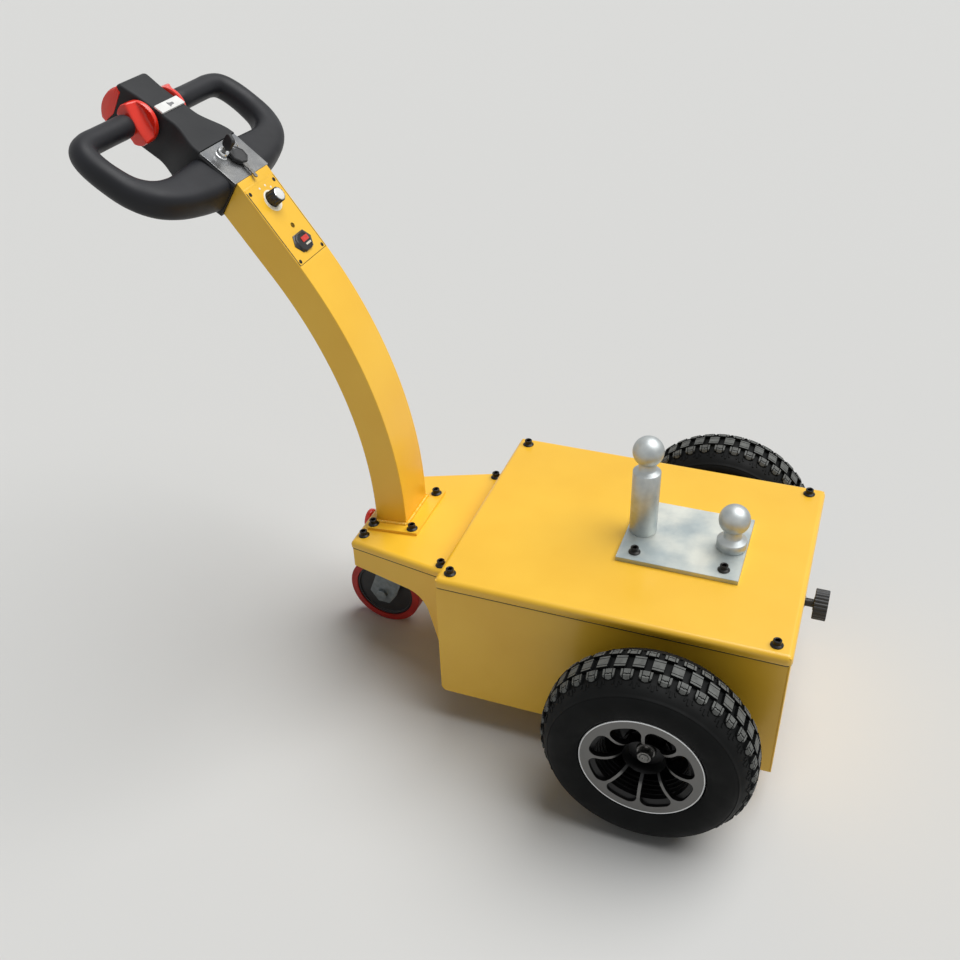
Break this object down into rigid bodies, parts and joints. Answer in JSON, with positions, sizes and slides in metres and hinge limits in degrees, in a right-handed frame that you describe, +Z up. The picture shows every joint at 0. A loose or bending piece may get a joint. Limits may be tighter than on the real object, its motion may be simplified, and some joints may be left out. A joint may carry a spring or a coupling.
{
  "type": "pedestrian electric baggage tug",
  "caption": "Walk-behind electric tow tug: steel box on two driven tyres and a swivel caster, tow balls on top, curved tiller arm with a looped control head.",
  "frame": {"origin": "on the floor below the middle of the bounding box", "axes": "+X towards the tow end, +Y to the left of that direction, +Z up"},
  "size_m": [1.1824, 0.725, 0.9866],
  "materials": {
    "yellow_paint": "gloss",
    "zinc_plate": "satin",
    "red_plastic": "gloss",
    "black_plastic": "matte",
    "soft_grip": "matte",
    "light_plastic": "satin",
    "grey_plate": "gloss",
    "grey_paint": "satin",
    "dark_steel": "satin",
    "tyre": "matte",
    "alloy": "satin",
    "red_rubber": "satin"
  },
  "bodies": {
    "chassis": {"side_plate_left": "yellow_paint", "side_plate_right": "yellow_paint", "tow_end_plate": "yellow_paint", "handle_end_wall": "yellow_paint", "floor_pan": "yellow_paint", "top_lid": "yellow_paint", "step_side_left": "yellow_paint", "step_side_right": "yellow_paint", "step_end_plate": "yellow_paint", "step_deck": "yellow_paint", "step_floor": "yellow_paint", "stop_button": "red_plastic", "battery_block": "black_plastic", "drive_motor": "dark_steel", "axle_tubes": "dark_steel", "tow_plate": "zinc_plate", "tall_tow_ball": "zinc_plate", "short_tow_ball": "zinc_plate", "release_knob": "black_plastic", "arm_foot_plate": "yellow_paint", "tiller_arm": "yellow_paint", "arm_panel": "yellow_paint", "speed_knob": "black_plastic", "battery_meter": "black_plastic", "head_housing": "black_plastic", "key_plate": "grey_plate", "key_switch": "zinc_plate", "horn_button": "light_plastic", "belly_paddle": "red_plastic", "thumb_wheel_left": "red_plastic", "thumb_wheel_right": "red_plastic", "grip_left": "soft_grip", "grip_right": "soft_grip", "caster_top_plate": "zinc_plate"},
    "caster_swivel": {"caster_fork": "grey_paint", "caster_axle_bolt": "zinc_plate"},
    "caster_wheel": {"caster_core": "black_plastic", "caster_tread": "red_rubber"},
    "wheel_left": {"tyre_left": "tyre", "rim_left": "alloy", "hub_left": "dark_steel"},
    "wheel_right": {"tyre_right": "tyre", "rim_right": "alloy", "hub_right": "dark_steel"}
  },
  "joints": [
    {"name": "caster_swivel_turn", "type": "hinge", "parent": "chassis", "child": "caster_swivel", "pos_m": [-0.15027, 0, 0.18], "axis": [0, 0, 1], "continuous": true},
    {"name": "caster_wheel_spin", "type": "hinge", "parent": "caster_swivel", "child": "caster_wheel", "pos_m": [-0.19522, 0.00196, 0.071], "axis": [0.0436, 0.999, 0], "continuous": true},
    {"name": "wheel_left_spin", "type": "hinge", "parent": "chassis", "child": "wheel_left", "pos_m": [0.37523, 0.3035, 0.1635], "axis": [0, 1, 0], "continuous": true},
    {"name": "wheel_right_spin", "type": "hinge", "parent": "chassis", "child": "wheel_right", "pos_m": [0.37523, -0.3035, 0.1635], "axis": [0, 1, 0], "continuous": true}
  ]
}
